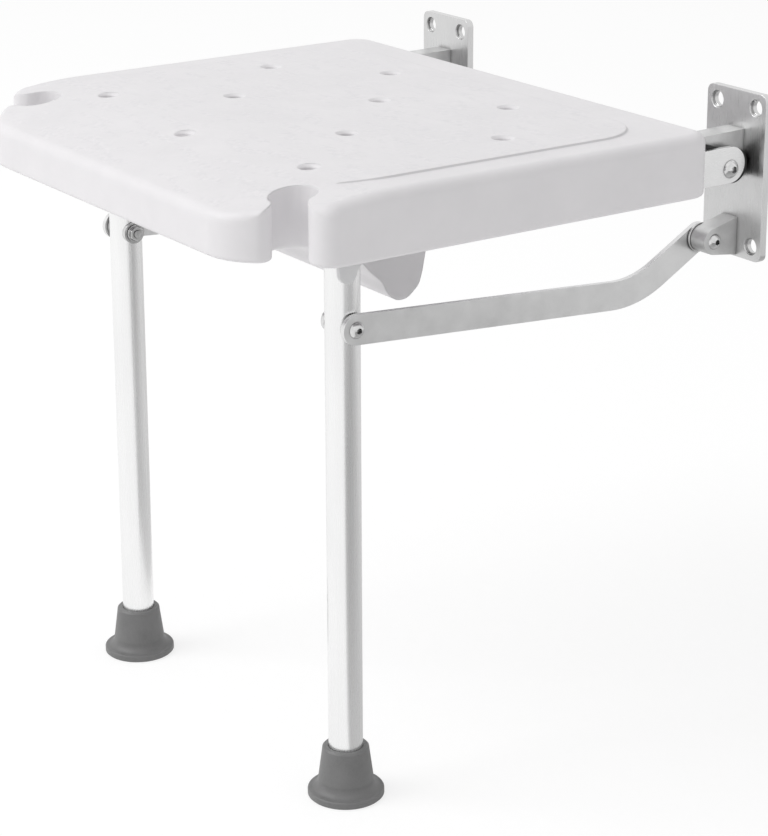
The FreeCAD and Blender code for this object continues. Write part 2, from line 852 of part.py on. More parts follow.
def drain_holes():
    low = roof_underside - drain_rim_depth - overrun
    high = seat_top + panel_rise + overrun
    holes = []
    for x, y in drain_places():
        top = panel_height(y)
        holes.append(rod_z(drain_radius, low, high, x, y))
        flare = Part.makeCone(
            drain_radius, drain_flare_radius, drain_flare_depth, Vector(x, y, top - drain_flare_depth)
        )
        holes.append(flare)
        holes.append(rod_z(drain_flare_radius, top, high, x, y))
    return holes


def seat_ribs():
    half_rib = rib_thickness / 2
    height = (roof_underside - rib_depth, roof_underside + skin_lap)
    length = (seat_front_y + skin_lap, seat_rear_y - skin_lap)
    rear_half = arm_inner_x - rib_arm_gap
    front_half = hanger_inner_cheek_x - rib_hanger_gap
    ribs = []
    for x in rib_columns:
        ribs.append(box((x - half_rib, x + half_rib), length, height))
    for setback in rear_rib_setbacks:
        y = seat_rear_y - setback
        ribs.append(box((-rear_half, rear_half), (y - half_rib, y + half_rib), height))
    for setback in front_rib_setbacks:
        y = seat_front_y + setback
        ribs.append(box((-front_half, front_half), (y - half_rib, y + half_rib), height))
    return ribs


def beam_outline():
    """Outline of the cross beam, from the front top corner round the bottom to the rear top corner."""
    offsets = [(beam_front_offset, beam_top)] + beam_profile + [(beam_rear_offset, beam_top)]
    return [(leg_y + offset, z) for offset, z in offsets]


def rounded_along_x(shape, radius, highest):
    """The shape with its edges along X rounded, except those higher than highest."""
    edges = [
        edge for edge in shape.Edges
        if edge.BoundBox.XLength > beam_half_length and edge.BoundBox.ZMax < highest
    ]
    return shape.makeFillet(radius, edges)


def cross_beam():
    """Deep hollow beam under the seat, closed all round."""
    points = [Vector(-beam_half_length, y, z) for y, z in beam_outline()]
    edges = [line(a, b) for a, b in zip(points, points[1:] + points[:1])]
    inner = Part.Wire(edges).makeOffset2D(-beam_wall, 2)
    inner.translate(Vector(beam_wall, 0, 0))
    beam = extrude(edges, Vector(2 * beam_half_length, 0, 0))
    hollow = Part.Face(inner).extrude(Vector(2 * (beam_half_length - beam_wall), 0, 0))
    beam = rounded_along_x(beam, beam_rounding, seat_bottom)
    return beam.cut(rounded_along_x(hollow, beam_rounding - beam_wall, seat_bottom))


def beam_weep_holes():
    """Holes in the bottom of the beam that let out the water from the drain holes above it."""
    floor = min(z for y, z in beam_outline())
    low_points = [y for y, z in beam_outline() if z == floor]
    middle = sum(low_points) / len(low_points)
    low = floor - overrun
    high = floor + beam_wall + overrun
    return [rod_z(weep_hole_radius, low, high, x, middle) for x in beam_weep_columns]


def arm_bosses():
    bosses = []
    for y in arm_boss_rows:
        boss = rod_x(arm_boss_radius, arm_outer_x, seat_half - seat_wall / 2, y, arm_axis_height)
        bosses.extend([boss, mirrored(boss)])
    return bosses


def arm_boss_holes():
    holes = []
    for y in arm_boss_rows:
        reach = arm_outer_x + screw_depth + overrun
        hole = rod_x(screw_radius + bolt_fit, arm_outer_x - overrun, reach, y, arm_axis_height)
        holes.extend([hole, mirrored(hole)])
    return holes


def hanger_web_bottom():
    corner_reach = math.hypot(tube_above_pivot + cap_thickness, tube_radius)
    return leg_pivot_height + corner_reach + hanger_web_clearance


def hanger_screw_rows():
    return [leg_y - hanger_screw_pitch / 2, leg_y + hanger_screw_pitch / 2]


def hanger_bosses():
    top = roof_underside + skin_lap
    bottom = hanger_web_bottom() + hanger_web_thickness
    bosses = []
    for y in hanger_screw_rows():
        boss = rod_z(hanger_boss_radius, bottom, top, leg_x, y)
        bosses.extend([boss, mirrored(boss)])
    return bosses


def hanger_boss_holes():
    bottom = hanger_web_bottom()
    top = bottom + hanger_web_thickness + screw_depth + overrun
    holes = []
    for y in hanger_screw_rows():
        hole = rod_z(screw_radius + bolt_fit, bottom, top, leg_x, y)
        holes.extend([hole, mirrored(hole)])
    return holes


def arm_slots():
    slot = box(
        (arm_inner_x - arm_slot_clearance, arm_outer_x + arm_slot_clearance),
        (seat_rear_y - 2 * seat_wall, seat_rear_y + overrun),
        (seat_bottom - overrun, arm_top + arm_slot_clearance),
    )
    return [slot, mirrored(slot)]


def seat_shell():
    """Moulded seat: outer skin with ribs, bosses, a deep beam, drain holes and corner notches."""
    body = seat_block().fuse(sitting_panel())
    shell = body.cut(seat_cavity())
    inside = seat_ribs() + drain_rims() + arm_bosses() + hanger_bosses()
    trimmed = [piece.common(body) for piece in inside]
    shell = shell.fuse(trimmed + [cross_beam()])
    cuts = drain_holes() + beam_weep_holes() + arm_slots() + arm_boss_holes() + hanger_boss_holes()
    return shell.cut(cuts).removeSplitter()


def seat_arm():
    """Flat bar with a round rear end that turns on the hinge bolt."""
    half = arm_height / 2
    front = Vector(arm_inner_x, arm_front_y, arm_axis_height)
    rear = Vector(arm_inner_x, hinge_y, arm_axis_height)
    up = Vector(0, 0, half)
    edges = [
        line(front - up, front + up),
        line(front + up, rear + up),
        arc(rear + up, rear + Vector(0, half, 0), rear - up),
        line(rear - up, front - up),
    ]
    arm = extrude(edges, Vector(arm_thickness, 0, 0))
    arm = arm.cut(hinge_hole(pivot_fit))
    for y in arm_boss_rows:
        reach = (arm_inner_x - overrun, arm_outer_x + overrun)
        arm = arm.cut(rod_x(screw_radius + bolt_fit, reach[0], reach[1], y, arm_axis_height))
    return arm


def pan_screw(grip):
    """Screw along +X that clamps a part of thickness grip, with a round head below x = 0."""
    head = Part.makeCone(
        screw_head_radius - screw_head_chamfer, screw_head_radius, screw_head_chamfer,
        Vector(-screw_head_height, 0, 0), Vector(1, 0, 0),
    )
    head = head.fuse(rod_x(screw_head_radius, screw_head_chamfer - screw_head_height, 0, 0, 0))
    slot_depth = (-screw_head_height - overrun, screw_slot_depth - screw_head_height)
    across = (-screw_slot_width / 2, screw_slot_width / 2)
    along = (-screw_slot_length / 2, screw_slot_length / 2)
    head = head.cut([box(slot_depth, across, along), box(slot_depth, along, across)])
    return head.fuse(rod_x(screw_radius, 0, grip + screw_depth, 0, 0)).removeSplitter()


def arm_screws():
    screws = []
    for y in arm_boss_rows:
        screw = pan_screw(arm_thickness)
        screw.translate(Vector(arm_inner_x, y, arm_axis_height))
        screws.append(screw)
    return Part.makeCompound(screws)


def hanger_screws():
    screws = []
    for y in hanger_screw_rows():
        screw = pan_screw(hanger_web_thickness)
        screw.rotate(Vector(0, 0, 0), Vector(0, 1, 0), -90)
        screw.translate(Vector(leg_x, y, hanger_web_bottom()))
        screws.append(screw)
    return Part.makeCompound(screws)


def hanger_inner_cheek(x_start):
    """Cheek on the far side of the leg, with one big round end about the pivot."""
    half = hanger_cheek_length / 2
    web_top = hanger_web_bottom() + hanger_web_thickness
    reach = (leg_y - half, leg_y + half)
    cheek = box((x_start, x_start + hanger_cheek_thickness), reach, (leg_pivot_height, web_top))
    return cheek.fuse(rod_x(half, x_start, x_start + hanger_cheek_thickness, leg_y, leg_pivot_height))


def hanger_outer_cheek(x_start):
    """Cheek on the outer side of the leg, with a tongue that reaches further down."""
    half = hanger_cheek_length / 2
    web_top = hanger_web_bottom() + hanger_web_thickness
    foot_z = leg_pivot_height - hanger_cheek_drop + hanger_foot_radius
    foot_y = leg_y + hanger_foot_offset
    cheek = slab(
        [
            (leg_y - half, web_top),
            (leg_y - half, leg_pivot_height),
            (foot_y - hanger_foot_radius, foot_z),
            (foot_y + hanger_foot_radius, foot_z),
            (leg_y + half, leg_pivot_height),
            (leg_y + half, web_top),
        ],
        x_start,
        x_start + hanger_cheek_thickness,
    )
    foot_round = rod_x(hanger_foot_radius, x_start, x_start + hanger_cheek_thickness, foot_y, foot_z)
    return cheek.fuse(foot_round)


def leg_hanger():
    """Channel under the seat whose two cheeks carry the leg's pivot bolt."""
    half = hanger_web_length / 2
    web_bottom = hanger_web_bottom()
    web = box(
        (hanger_inner_cheek_x, hanger_outer_cheek_x + hanger_cheek_thickness),
        (leg_y - half, leg_y + half),
        (web_bottom, web_bottom + hanger_web_thickness),
    )
    hanger = web.fuse([hanger_inner_cheek(hanger_inner_cheek_x), hanger_outer_cheek(hanger_outer_cheek_x)])
    hanger = hanger.cut(leg_pivot_hole(bolt_fit))
    for y in hanger_screw_rows():
        top = web_bottom + hanger_web_thickness + overrun
        hanger = hanger.cut(rod_z(screw_radius + bolt_fit, web_bottom - overrun, top, leg_x, y))
    return hanger.removeSplitter()


def leg_pivot_bolt():
    end_x = hanger_inner_cheek_x - hinge_nut_height - bolt_end_length
    return button_bolt(
        hinge_bolt_radius, hinge_head_radius, hinge_head_height, hinge_socket_flats,
        hanger_outer_cheek_x + hanger_cheek_thickness, end_x, leg_y, leg_pivot_height,
    )


def leg_pivot_nut():
    return flange_nut(
        hinge_bolt_radius + bolt_fit, hinge_nut_flats, hinge_nut_height,
        hanger_inner_cheek_x, leg_y, leg_pivot_height,
    )


def save(name, shape):
    shape.exportStep("parts/" + name + ".step")


def main():
    os.makedirs("parts", exist_ok=True)
    paired = {
        "wall_plate": wall_plate,
        "plate_screws": plate_screws,
        "hinge_bracket": hinge_bracket,
        "bearing_pad": bearing_pad,
        "hinge_bolt": hinge_bolt,
        "hinge_nut": hinge_nut,
        "link_lug": link_lug,
        "lug_washer": lug_washer,
        "lug_bolt": lug_bolt,
        "lug_nut": lug_nut,
        "link_bar": link_bar,
        "leg_tube": leg_tube,
        "leg_cap": leg_cap,
        "foot": foot,
        "leg_link_bolt": leg_link_bolt,
        "leg_link_spacer": leg_link_spacer,
        "leg_saddle": leg_saddle,
        "leg_link_nut": leg_link_nut,
        "seat_arm": seat_arm,
        "arm_screws": arm_screws,
        "leg_hanger": leg_hanger,
        "hanger_screws": hanger_screws,
        "leg_pivot_bolt": leg_pivot_bolt,
        "leg_pivot_nut": leg_pivot_nut,
    }
    save("seat_shell", seat_shell())
    for name, build in paired.items():
        shape = build()
        save(name + "_right", shape)
        save(name + "_left", mirrored(shape))


main()
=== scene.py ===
import json
import math

import bmesh
import bpy
from mathutils import Matrix, Vector

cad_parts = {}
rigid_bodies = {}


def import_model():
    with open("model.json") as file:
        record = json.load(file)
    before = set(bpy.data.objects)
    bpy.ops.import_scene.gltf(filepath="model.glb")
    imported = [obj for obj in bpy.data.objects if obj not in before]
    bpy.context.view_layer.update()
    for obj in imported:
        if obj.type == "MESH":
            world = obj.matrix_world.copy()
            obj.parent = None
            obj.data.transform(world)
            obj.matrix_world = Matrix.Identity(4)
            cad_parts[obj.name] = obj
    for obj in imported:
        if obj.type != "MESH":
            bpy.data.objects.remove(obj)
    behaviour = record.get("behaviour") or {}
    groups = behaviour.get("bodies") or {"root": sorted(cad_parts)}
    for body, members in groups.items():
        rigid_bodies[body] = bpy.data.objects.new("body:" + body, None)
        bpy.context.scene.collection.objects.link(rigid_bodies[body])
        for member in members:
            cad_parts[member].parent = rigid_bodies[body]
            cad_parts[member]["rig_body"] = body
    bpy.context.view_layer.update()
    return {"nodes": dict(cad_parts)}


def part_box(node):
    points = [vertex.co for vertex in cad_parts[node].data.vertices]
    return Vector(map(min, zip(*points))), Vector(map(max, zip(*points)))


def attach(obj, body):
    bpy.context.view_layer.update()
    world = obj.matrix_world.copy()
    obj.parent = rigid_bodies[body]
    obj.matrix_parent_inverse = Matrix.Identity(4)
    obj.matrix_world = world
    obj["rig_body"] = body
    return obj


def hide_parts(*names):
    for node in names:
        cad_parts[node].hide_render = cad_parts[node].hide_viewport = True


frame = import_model()

SIDES = ("right", "left")

# Places of the seat and the floor in metres, read from the frame
SEAT_LOW, SEAT_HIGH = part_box("seat_shell")
SEAT_TOP = SEAT_HIGH.z
FLOOR_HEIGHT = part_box("foot_right")[0].z

# Parts of the seat in metres: its depth without the beam, the panel's ends and margins, the notches
SEAT_SKIN_DEPTH = 0.0485
PANEL_CREASE_END = -0.352
PANEL_FALL_Y = -0.33
PANEL_MARGIN = 0.020
PANEL_FRONT_MARGIN = 0.045
NOTCH_X = 0.1814
NOTCH_Y = -0.3982
NOTCH_REACH = 0.031
TOP_LAYER = 0.008
FALLING_FACES_ABOVE = 0.03
DRAIN_FLARE_LAYER = 0.0050

# Range of the upright part of a face normal, by the slope that it tells
DRAIN_FLARE_SLOPE = (0.72, 0.84)
PANEL_WALL_SLOPE = (0.5, 0.65)
LEVEL_SLOPE = 0.95

# Edge roundings of the seat in metres
DRAIN_ROUNDING = 0.0012
CREASE_ROUNDING = 0.00025
BEAM_ROUNDING = 0.0024
SEAT_ROUNDING = 0.0005

# Edge roundings of the other pieces in metres
ROUNDING = {
    "wall_plate": 0.0008,
    "hinge_bracket": 0.0011,
    "bearing_pad": 0.0008,
    "link_lug": 0.0011,
    "lug_washer": 0.0004,
    "link_bar": 0.0008,
    "seat_arm": 0.0008,
    "leg_hanger": 0.0007,
    "leg_cap": 0.0006,
    "hinge_bolt": 0.0004,
    "lug_bolt": 0.0004,
    "leg_link_bolt": 0.0004,
    "leg_pivot_bolt": 0.0004,
    "hinge_nut": 0.0004,
    "lug_nut": 0.0004,
    "leg_link_nut": 0.0004,
    "leg_pivot_nut": 0.0004,
    "leg_saddle": 0.0003,
    "leg_link_spacer": 0.0003,
}

# Camera, solved from the plates, the legs and the seat's edges
CAMERA_PLACE = Vector((1.544768, -1.273948, 0.461312))
CAMERA_AZIMUTH = 55.165
CAMERA_ELEVATION = 17.145
CAMERA_ROLL = -0.151
CAMERA_LENS = 108.6
CAMERA_SHIFT = -0.13

# Studio: the lamp's place, size and power, the level of soft light and the grey card's direction
AIM = Vector((0, -0.22, -0.15))
LAMP_PLACE = Vector((-1.43, -3.30, 3.24))
LAMP_SIZE = 2.7
LAMP_WATTS = 98
SOFT_LIGHT = 0.68
FLOOR_SIZE = 40
CARD_SIZE = (3.0, 1.4)
CARD_OFFSET = 0.72
CARD_AZIMUTH = 64


class Finish:
    """A surface finish: one material, its shader and the nodes that vary it."""

    def __init__(self, name, metallic=0.0, roughness=0.5, specular=0.5):
        self.material = bpy.data.materials.new(name)
        self.material.use_nodes = True
        self.tree = self.material.node_tree
        self.shader = self.tree.nodes["Principled BSDF"]
        self.shader.inputs["Metallic"].default_value = metallic
        self.shader.inputs["Roughness"].default_value = roughness
        self.shader.inputs["Specular IOR Level"].default_value = specular

    def put(self, socket, value):
        if isinstance(value, bpy.types.NodeSocket):
            self.tree.links.new(value, socket)
        else:
            socket.default_value = value

    def grain(self, size, stretch=(1, 1, 1), detail=3.0, roughness=0.5):
        """Noise whose features are about size metres, drawn out along the axes by stretch."""
        place = self.tree.nodes.new("ShaderNodeTexCoord")
        mapping = self.tree.nodes.new("ShaderNodeMapping")
        mapping.inputs["Scale"].default_value = [1 / (size * axis) for axis in stretch]
        noise = self.tree.nodes.new("ShaderNodeTexNoise")
        noise.inputs["Scale"].default_value = 1.0
        noise.inputs["Detail"].default_value = detail
        noise.inputs["Roughness"].default_value = roughness
        self.tree.links.new(place.outputs["Object"], mapping.inputs["Vector"])
        self.tree.links.new(mapping.outputs["Vector"], noise.inputs["Vector"])
        return noise.outputs["Fac"]

    def attribute(self, name):
        node = self.tree.nodes.new("ShaderNodeAttribute")
        node.attribute_name = name
        return node.outputs["Fac"]

    def math(self, operation, first, second):
        node = self.tree.nodes.new("ShaderNodeMath")
        node.operation = operation
        self.put(node.inputs[0], first)
        self.put(node.inputs[1], second)
        return node.outputs["Value"]

    def spread(self, value, low, high, start=0.3, end=0.7):
        """A value between start and end, turned into one between low and high."""
        node = self.tree.nodes.new("ShaderNodeMapRange")
        self.put(node.inputs["Value"], value)
        node.inputs["From Min"].default_value = start
        node.inputs["From Max"].default_value = end
        node.inputs["To Min"].default_value = low
        node.inputs["To Max"].default_value = high
        return node.outputs["Result"]

    def colours(self, value, dark, light):
        """A colour between dark and light, chosen by a value from 0 to 1."""
        node = self.tree.nodes.new("ShaderNodeMix")
        node.data_type = "RGBA"
        self.put(node.inputs["Factor"], value)
        self.put(node.inputs["A"], dark if isinstance(dark, bpy.types.NodeSocket) else (*dark, 1))
        self.put(node.inputs["B"], light if isinstance(light, bpy.types.NodeSocket) else (*light, 1))
        return node.outputs["Result"]

    def painted_hollow_shade(self, reach):
        """Mask for painted shade: from 0 deep in a hollow, where shade falls, to 1 on an open surface.
        """
        node = self.tree.nodes.new("ShaderNodeAmbientOcclusion")
        node.inputs["Distance"].default_value = reach
        node.samples = 8
        return node.outputs["AO"]

    def softened(self, radius):
        """Normals that round every edge of the surface by radius."""
        node = self.tree.nodes.new("ShaderNodeBevel")
        node.samples = 8
        node.inputs["Radius"].default_value = radius
        return node.outputs["Normal"]

    def bump(self, height, depth, under=None):
        node = self.tree.nodes.new("ShaderNodeBump")
        node.inputs["Strength"].default_value = 1.0
        node.inputs["Distance"].default_value = depth
        self.tree.links.new(height, node.inputs["Height"])
        if under is not None:
            self.tree.links.new(under, node.inputs["Normal"])
        return node.outputs["Normal"]

    def set(self, name, value):
        self.put(self.shader.inputs[name], value)


def grey(level):
    return (level, level, level)


def moulded_seat_plastic():
    finish = Finish("moulded_seat_plastic", roughness=0.42, specular=0.4)
    clouds = finish.grain(0.055, detail=4.0, roughness=0.6)
    pebbles = finish.grain(0.0042, detail=3.0, roughness=0.55)
    streaks = finish.grain(0.010, stretch=(3.5, 1, 1), detail=2.0)
    fine = finish.grain(0.0009, detail=2.0)
    panel = finish.attribute("panel_grain")
    body = finish.colours(finish.spread(clouds, 0, 1), (0.757, 0.744, 0.759), (0.798, 0.783, 0.798))
    mottled = finish.colours(
        finish.spread(pebbles, 0, 1, 0.35, 0.65), (0.715, 0.703, 0.722), (0.815, 0.799, 0.815)
    )
    scuffed = finish.math("MULTIPLY", finish.spread(streaks, 0, 0.75, 0.45, 0.62), panel)
    skin = finish.colours(scuffed, body, mottled)
    # The panel's sloping wall gets a darker base colour: painted shade in the crease.
    finish.set("Base Color", finish.colours(finish.attribute("crease_painted_shade"), skin, (0.66, 0.648, 0.662)))
    finish.set("Roughness", finish.spread(finish.math("ADD", pebbles, fine), 0.36, 0.52, 0.75, 1.25))
    smooth = finish.bump(fine, 0.00002, finish.softened(0.0022))
    pebbled = finish.math("MULTIPLY", pebbles, finish.spread(panel, 0.25, 1.0, 0, 1))
    finish.set("Normal", finish.bump(pebbled, 0.00014, smooth))
    finish.shader.inputs["Subsurface Weight"].default_value = 0.08
    finish.shader.inputs["Subsurface Scale"].default_value = 0.002
    finish.shader.inputs["Subsurface Radius"].default_value = (1.0, 1.0, 1.0)
    return finish.material


def steel(name, tone, brush, brush_size, roughness, contrast, wear_and_sheen=1.12):
    """Steel with a grain drawn out along brush, cloudy polish, rounded edges drawn lighter as wear and
    painted highlight, and painted shade in its hollows.
    """
    finish = Finish(name, metallic=1.0)
    lines = finish.grain(brush_size, stretch=brush, detail=4.0, roughness=0.65)
    clouds = finish.grain(0.018, detail=3.0, roughness=0.5)
    worn_and_sheen = finish.attribute("edge_wear_and_sheen")
    shade = finish.math("ADD", finish.math("MULTIPLY", lines, 0.6), finish.math("MULTIPLY", clouds, 0.4))
    low = grey(tone * (1 - contrast))
    high = grey(tone * (1 + contrast))
    body = finish.colours(finish.spread(shade, 0, 1, 0.38, 0.62), low, high)
    # Rounded edges drawn lighter: partly edge wear, partly a painted highlight.
    bright = finish.colours(worn_and_sheen, body, grey(min(tone * wear_and_sheen, 0.95)))
    # Hollows get a darker base colour: painted shade.
    hollow_shade = finish.spread(finish.painted_hollow_shade(0.005), 0, 1, 0.3, 0.9)
    finish.set("Base Color", finish.colours(hollow_shade, grey(tone * 0.3), bright))
    rough = finish.spread(lines, roughness - 0.06, roughness + 0.07)
    finish.set("Roughness", finish.math("SUBTRACT", rough, finish.math("MULTIPLY", worn_and_sheen, 0.08)))
    finish.set("Normal", finish.bump(lines, 0.000012))
    return finish.material


def cast_steel():
    finish = Finish("cast_bracket_steel", metallic=1.0)
    pits = finish.grain(0.0011, detail=3.0, roughness=0.6)
    clouds = finish.grain(0.012, detail=3.0)
    worn_and_sheen = finish.attribute("edge_wear_and_sheen")
    body = finish.colours(finish.spread(clouds, 0, 1), grey(0.60), grey(0.70))
    # Rounded edges drawn lighter: partly edge wear, partly a painted highlight.
    finish.set("Base Color", finish.colours(worn_and_sheen, body, grey(0.78)))
    finish.set("Roughness", finish.spread(pits, 0.34, 0.48))
    finish.set("Normal", finish.bump(pits, 0.00003))
    return finish.material


def polished_steel():
    finish = Finish("polished_fastener_steel", metallic=1.0)
    turning = finish.grain(0.0005, stretch=(1, 4, 4), detail=3.0)
    clouds = finish.grain(0.004, detail=2.0)
    body = finish.colours(finish.spread(clouds, 0, 1), grey(0.60), grey(0.74))
    # Rounded edges drawn lighter: partly edge wear, partly a painted highlight.
    bright = finish.colours(finish.attribute("edge_wear_and_sheen"), body, grey(0.80))
    # Hollows such as the bolt sockets get a near-black base colour: painted shade.
    hollow_shade = finish.spread(finish.painted_hollow_shade(0.003), 0, 1, 0.35, 0.85)
    finish.set("Base Color", finish.colours(hollow_shade, grey(0.04), bright))
    finish.set("Roughness", finish.spread(turning, 0.14, 0.26))
    finish.set("Normal", finish.bump(turning, 0.000006))
    return finish.material


def drawn_aluminium():
    """Anodised tube with faint lines along its length from the drawing die."""
    finish = Finish("drawn_leg_aluminium", metallic=1.0)
    lines = finish.grain(0.0006, stretch=(1, 1, 160), detail=3.0, roughness=0.6)
    clouds = finish.grain(0.03, stretch=(1, 1, 4), detail=3.0)
    finish.set("Base Color", finish.colours(finish.spread(clouds, 0, 1), grey(0.86), grey(0.92)))
    finish.set("Roughness", finish.spread(lines, 0.26, 0.29))
    finish.set("Normal", finish.bump(lines, 0.0000007))
    return finish.material


def coated_steel():
    finish = Finish("white_coated_steel", roughness=0.4, specular=0.5)
    peel = finish.grain(0.0016, detail=2.0)
    clouds = finish.grain(0.02, detail=3.0)
    body = finish.colours(finish.spread(clouds, 0, 1), (0.72, 0.72, 0.73), (0.78, 0.78, 0.785))
    # Rounded edges drawn lighter: partly edge wear, partly a painted highlight.
    finish.set("Base Color", finish.colours(finish.attribute("edge_wear_and_sheen"), body, grey(0.80)))
    finish.set("Roughness", finish.spread(peel, 0.32, 0.46))
    finish.set("Normal", finish.bump(peel, 0.00003))
    return finish.material


def black_nylon():
    finish = Finish("black_nylon", roughness=0.45, specular=0.4)
    speckle = finish.grain(0.0007, detail=3.0)
    clouds = finish.grain(0.008, detail=2.0)
    body = finish.colours(finish.spread(clouds, 0, 1), grey(0.010), grey(0.022))
    # Rounded edges drawn lighter: partly edge wear, partly a painted highlight.
    finish.set("Base Color", finish.colours(finish.attribute("edge_wear_and_sheen"), body, grey(0.05)))
    finish.set("Roughness", finish.spread(speckle, 0.38, 0.55))
    finish.set("Normal", finish.bump(speckle, 0.00003))
    return finish.material


def foot_rubber():
    finish = Finish("foot_rubber", roughness=0.5, specular=0.5)
    pores = finish.grain(0.0012, detail=4.0, roughness=0.6)
    dust = finish.grain(0.015, detail=4.0, roughness=0.6)
    body = finish.colours(finish.spread(dust, 0, 1), grey(0.145), grey(0.180))
    finish.set("Base Color", finish.colours(finish.spread(pores, 0, 0.5), body, grey(0.20)))
    finish.set("Roughness", finish.spread(pores, 0.42, 0.56))
    finish.set("Normal", finish.bump(pores, 0.00005))
    return finish.material


def merged_shell(node):
    """A copy of a frame node's skin with its triangles joined and its flat faces whole."""
    shell = bmesh.new()
    shell.from_mesh(frame["nodes"][node].data)
    bmesh.ops.remove_doubles(shell, verts=shell.verts, dist=0.000002)
    bmesh.ops.dissolve_limit(
        shell, angle_limit=math.radians(0.3), verts=shell.verts, edges=shell.edges
    )
    return shell


def edges_sharper(shell, least_angle, wanted=lambda edge: True):
    limit = math.radians(least_angle)
    return [
        edge for edge in shell.edges
        if len(edge.link_faces) == 2 and edge.calc_face_angle() > limit and wanted(edge)
    ]


def round_edges(shell, edges, radius, segments):
    """Rounds the edges and marks the middle of each rounding for edge wear and a painted highlight."""
    made = bmesh.ops.bevel(
        shell, geom=edges, offset=radius, offset_type="OFFSET", affect="EDGES",
        segments=segments, profile=0.5, material=-1, clamp_overlap=True,
    )
    wear_and_sheen = shell.verts.layers.float["edge_wear_and_sheen"]
    rounded = set(made["faces"])
    for vert in made["verts"]:
        if all(face in rounded for face in vert.link_faces):
            vert[wear_and_sheen] = 1.0


def make_piece(name, shell, material, sharp_angle=35):
    mesh = bpy.data.meshes.new(name)
    shell.to_mesh(mesh)
    shell.free()
    mesh.materials.clear()
    mesh.materials.append(material)
    mesh.polygons.foreach_set("use_smooth", [True] * len(mesh.polygons))
    mesh.set_sharp_from_angle(angle=math.radians(sharp_angle))
    piece = bpy.data.objects.new(name, mesh)
    bpy.context.scene.collection.objects.link(piece)
    shading = piece.modifiers.new("shading", "WEIGHTED_NORMAL")
    shading.keep_sharp = True
    return piece


def stand_for(piece, node):
    """The piece takes the node's place and body, and the node is hidden."""
    source = frame["nodes"][node]
    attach(piece, source["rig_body"])
    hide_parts(node)


def rounded_piece(node, radius, material, segments=3):
    shell = merged_shell(node)
    shell.verts.layers.float.new("edge_wear_and_sheen")
    round_edges(shell, edges_sharper(shell, 35), radius, segments)
    stand_for(make_piece(node + "_finished", shell, material), node)


def on_wall(face):
    """True for a face of the sloping wall round the raised panel, well inside the seat's edges; these
    faces get the painted crease shade.
    """
    middle = face.calc_center_median()
    from_notch = math.hypot(abs(middle.x) - NOTCH_X, middle.y - NOTCH_Y)
    inside_x = abs(middle.x) < SEAT_HIGH.x - PANEL_MARGIN
    inside_y = SEAT_LOW.y + PANEL_FRONT_MARGIN < middle.y < SEAT_HIGH.y - PANEL_MARGIN
    return inside_x and inside_y and from_notch > NOTCH_REACH


def sloped(face, slope):
    low, high = slope
    return low < face.normal.z < high


def on_crease(edge):
    """True for an edge of the sloping wall round the raised panel."""
    high = min(vert.co.z for vert in edge.verts) > SEAT_TOP - TOP_LAYER
    return high and any(sloped(face, PANEL_WALL_SLOPE) for face in edge.link_faces)


def on_drain_flare(edge):
    """True for an edge of the flare at the top of a drain hole."""
    high = min(vert.co.z for vert in edge.verts) > SEAT_TOP - DRAIN_FLARE_LAYER
    return high and any(sloped(face, DRAIN_FLARE_SLOPE) for face in edge.link_faces)


def on_beam_end(edge):
    """True for an edge round an end wall of the cross beam."""
    low = max(vert.co.z for vert in edge.verts) < SEAT_TOP - SEAT_SKIN_DEPTH - 0.002
    return low and any(abs(face.normal.x) > 0.99 for face in edge.link_faces)


def on_lasting_crease(edge):
    """True for an edge of the panel's wall where it hasn't faded out yet."""
    return min(vert.co.y for vert in edge.verts) > PANEL_CREASE_END and on_crease(edge)


def seat_piece(material):
    """The moulded seat, with the soft edges that its mould leaves."""
    shell = merged_shell("seat_shell")
    shell.verts.layers.float.new("edge_wear_and_sheen")
    grain = shell.faces.layers.float.new("panel_grain")
    crease_shade = shell.faces.layers.float.new("crease_painted_shade")
    round_edges(shell, edges_sharper(shell, 25, on_drain_flare), DRAIN_ROUNDING, 3)
    round_edges(shell, edges_sharper(shell, 20, on_lasting_crease), CREASE_ROUNDING, 2)
    round_edges(shell, edges_sharper(shell, 40, on_beam_end), BEAM_ROUNDING, 4)
    others = edges_sharper(shell, 35, lambda edge: not on_crease(edge))
    round_edges(shell, others, SEAT_ROUNDING, 2)
    for face in shell.faces:
        middle = face.calc_center_median()
        falling = middle.y < PANEL_FALL_Y and middle.z > FALLING_FACES_ABOVE
        on_panel = middle.z > SEAT_TOP - 0.0002 or falling
        face[grain] = 1.0 if on_panel and face.normal.z > LEVEL_SLOPE else 0.0
        high = middle.z > SEAT_TOP - TOP_LAYER
        # Marks the panel's sloping wall for the painted crease shade.
        face[crease_shade] = 1.0 if high and sloped(face, PANEL_WALL_SLOPE) and on_wall(face) else 0.0
    stand_for(make_piece("seat_shell_finished", shell, material, 28), "seat_shell")


def dress(node, material):
    mesh = frame["nodes"][node].data
    for place in range(len(mesh.materials)):
        mesh.materials[place] = material


